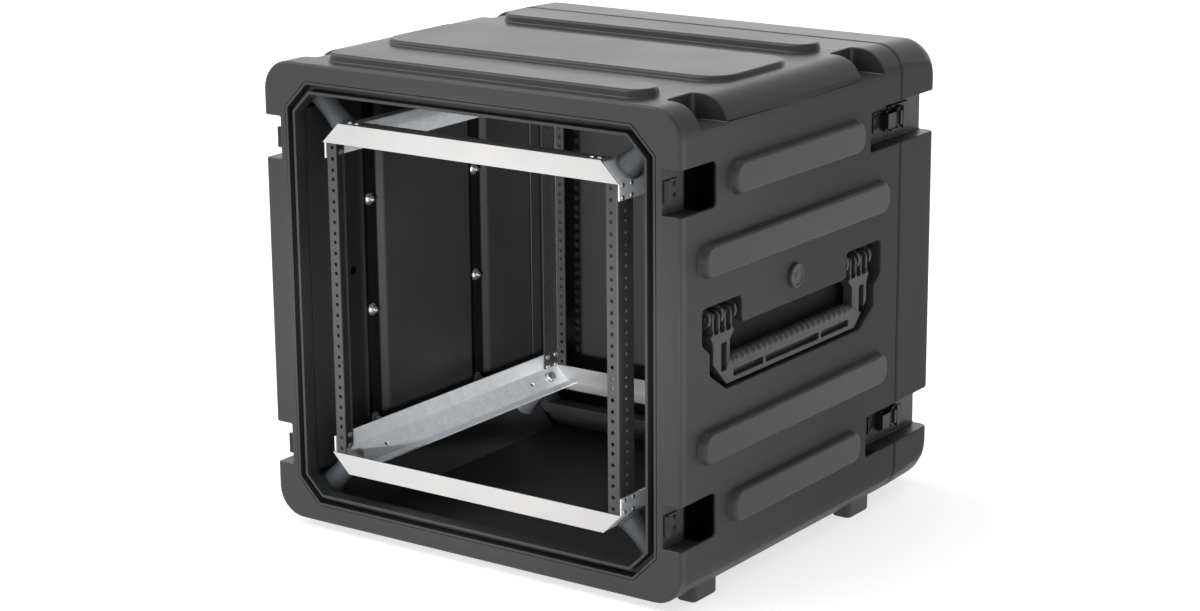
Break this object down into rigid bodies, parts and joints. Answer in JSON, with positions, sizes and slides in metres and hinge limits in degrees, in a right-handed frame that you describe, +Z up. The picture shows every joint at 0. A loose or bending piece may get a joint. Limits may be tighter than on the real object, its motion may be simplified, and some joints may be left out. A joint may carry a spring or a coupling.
{
  "type": "equipment rack case",
  "caption": "Moulded shock-mount transport case for 19-inch rack equipment, with an inner steel frame on rubber mounts, swinging side handles and a latched rear lid.",
  "frame": {"origin": "centre of the footprint at floor level, under the feet", "axes": "+Z up, -Y out of the open front, +X to the side with the pressure valve"},
  "size_m": [0.712, 0.667, 0.682],
  "materials": {
    "moulded_plastic": "fine pebbled moulding, satin black-grey",
    "frame_aluminium": "black coated extrusion",
    "seal_rubber": "matte black seal",
    "mount_rubber": "matte grey",
    "zinc_steel": "zinc plated",
    "pale_steel": "pale plated sheet",
    "rail_steel": "dark grey coating",
    "latch_steel": "black coating",
    "black_nylon": "moulded nylon"
  },
  "bodies": {
    "case": {"case_shell": "moulded_plastic", "front_valance": "frame_aluminium", "front_gasket": "seal_rubber", "rear_valance": "frame_aluminium", "rear_gasket": "seal_rubber", "pressure_valve": "black_nylon", "side_liner_right": "moulded_plastic", "side_liner_left": "moulded_plastic", "handle_bracket_right_front": "black_nylon", "handle_bracket_right_rear": "black_nylon", "handle_bracket_left_front": "black_nylon", "handle_bracket_left_rear": "black_nylon", "front_keeper_upper_right": "latch_steel", "front_keeper_upper_left": "latch_steel", "front_keeper_lower_right": "latch_steel", "front_keeper_lower_left": "latch_steel", "rear_keeper_upper_right": "latch_steel", "rear_keeper_upper_left": "latch_steel", "rear_keeper_lower_right": "latch_steel", "rear_keeper_lower_left": "latch_steel", "shock_mount_upper_right_front": "mount_rubber", "shock_mount_upper_right_rear": "mount_rubber", "shock_mount_upper_left_front": "mount_rubber", "shock_mount_upper_left_rear": "mount_rubber", "shock_mount_lower_right_front": "mount_rubber", "shock_mount_lower_right_rear": "mount_rubber", "shock_mount_lower_left_front": "mount_rubber", "shock_mount_lower_left_rear": "mount_rubber"},
    "lid": {"rear_lid": "moulded_plastic", "lid_tongue": "frame_aluminium", "latch_base_upper_right": "latch_steel", "latch_base_upper_left": "latch_steel", "latch_base_lower_right": "latch_steel", "latch_base_lower_left": "latch_steel"},
    "rotor_upper_right": {"latch_rotor_upper_right": "latch_steel"},
    "wing_upper_right": {"latch_wing_upper_right": "latch_steel"},
    "hook_upper_right": {"latch_hook_upper_right": "latch_steel"},
    "rotor_upper_left": {"latch_rotor_upper_left": "latch_steel"},
    "wing_upper_left": {"latch_wing_upper_left": "latch_steel"},
    "hook_upper_left": {"latch_hook_upper_left": "latch_steel"},
    "rotor_lower_right": {"latch_rotor_lower_right": "latch_steel"},
    "wing_lower_right": {"latch_wing_lower_right": "latch_steel"},
    "hook_lower_right": {"latch_hook_lower_right": "latch_steel"},
    "rotor_lower_left": {"latch_rotor_lower_left": "latch_steel"},
    "wing_lower_left": {"latch_wing_lower_left": "latch_steel"},
    "hook_lower_left": {"latch_hook_lower_left": "latch_steel"},
    "grip_right": {"handle_right": "black_nylon"},
    "grip_left": {"handle_left": "black_nylon"},
    "rack_frame": {"rack_rail_right_front": "rail_steel", "rack_rail_right_rear": "rail_steel", "rack_rail_left_front": "rail_steel", "rack_rail_left_rear": "rail_steel", "depth_bar_upper_right": "zinc_steel", "depth_bar_upper_left": "zinc_steel", "depth_bar_lower_right": "zinc_steel", "depth_bar_lower_left": "zinc_steel", "crossbar_upper_front": "pale_steel", "crossbar_upper_rear": "pale_steel", "crossbar_lower_front": "pale_steel", "crossbar_lower_rear": "pale_steel"}
  },
  "joints": [
    {"name": "lid_slide", "type": "slide", "parent": "case", "child": "lid", "axis": [0, 1, 0], "range_m": [0, 0.15]},
    {"name": "rotor_turn_upper_right", "type": "hinge", "parent": "lid", "child": "rotor_upper_right", "pos_m": [0.317, 0.262, 0.563], "axis": [1, 0, 0], "range_deg": [0, 180]},
    {"name": "wing_fold_upper_right", "type": "hinge", "parent": "rotor_upper_right", "child": "wing_upper_right", "pos_m": [0.3287, 0.262, 0.563], "axis": [0, 0, -1], "range_deg": [0, 90]},
    {"name": "hook_slide_upper_right", "type": "slide", "parent": "lid", "child": "hook_upper_right", "axis": [0, -1, 0], "range_m": [0, 0.007]},
    {"name": "rotor_turn_upper_left", "type": "hinge", "parent": "lid", "child": "rotor_upper_left", "pos_m": [-0.317, 0.262, 0.563], "axis": [-1, 0, 0], "range_deg": [0, 180]},
    {"name": "wing_fold_upper_left", "type": "hinge", "parent": "rotor_upper_left", "child": "wing_upper_left", "pos_m": [-0.3287, 0.262, 0.563], "axis": [0, 0, 1], "range_deg": [0, 90]},
    {"name": "hook_slide_upper_left", "type": "slide", "parent": "lid", "child": "hook_upper_left", "axis": [0, -1, 0], "range_m": [0, 0.007]},
    {"name": "rotor_turn_lower_right", "type": "hinge", "parent": "lid", "child": "rotor_lower_right", "pos_m": [0.317, 0.262, 0.119], "axis": [1, 0, 0], "range_deg": [0, 180]},
    {"name": "wing_fold_lower_right", "type": "hinge", "parent": "rotor_lower_right", "child": "wing_lower_right", "pos_m": [0.3287, 0.262, 0.119], "axis": [0, 0, -1], "range_deg": [0, 90]},
    {"name": "hook_slide_lower_right", "type": "slide", "parent": "lid", "child": "hook_lower_right", "axis": [0, -1, 0], "range_m": [0, 0.007]},
    {"name": "rotor_turn_lower_left", "type": "hinge", "parent": "lid", "child": "rotor_lower_left", "pos_m": [-0.317, 0.262, 0.119], "axis": [-1, 0, 0], "range_deg": [0, 180]},
    {"name": "wing_fold_lower_left", "type": "hinge", "parent": "rotor_lower_left", "child": "wing_lower_left", "pos_m": [-0.3287, 0.262, 0.119], "axis": [0, 0, 1], "range_deg": [0, 90]},
    {"name": "hook_slide_lower_left", "type": "slide", "parent": "lid", "child": "hook_lower_left", "axis": [0, -1, 0], "range_m": [0, 0.007]},
    {"name": "handle_swing_right", "type": "hinge", "parent": "case", "child": "grip_right", "pos_m": [0.332, -0.0525, 0.384], "axis": [0, -1, 0], "range_deg": [0, 90]},
    {"name": "handle_swing_left", "type": "hinge", "parent": "case", "child": "grip_left", "pos_m": [-0.332, -0.0525, 0.384], "axis": [0, 1, 0], "range_deg": [0, 90]},
    {"name": "shock_travel", "type": "slide", "parent": "case", "child": "rack_frame", "axis": [0, 0, 1], "range_m": [-0.012, 0.012], "stiffness_N_per_m": 40000, "springref_m": 0.0016, "deforming": ["shock_mount_upper_right_front", "shock_mount_upper_right_rear", "shock_mount_upper_left_front", "shock_mount_upper_left_rear", "shock_mount_lower_right_front", "shock_mount_lower_right_rear", "shock_mount_lower_left_front", "shock_mount_lower_left_rear"]}
  ],
  "couplings": [
    {"joint": "hook_slide_upper_right", "follows": "rotor_turn_upper_right", "m_per_rad": 0.002225},
    {"joint": "hook_slide_upper_left", "follows": "rotor_turn_upper_left", "m_per_rad": 0.002225},
    {"joint": "hook_slide_lower_right", "follows": "rotor_turn_lower_right", "m_per_rad": 0.002225},
    {"joint": "hook_slide_lower_left", "follows": "rotor_turn_lower_left", "m_per_rad": 0.002225}
  ]
}
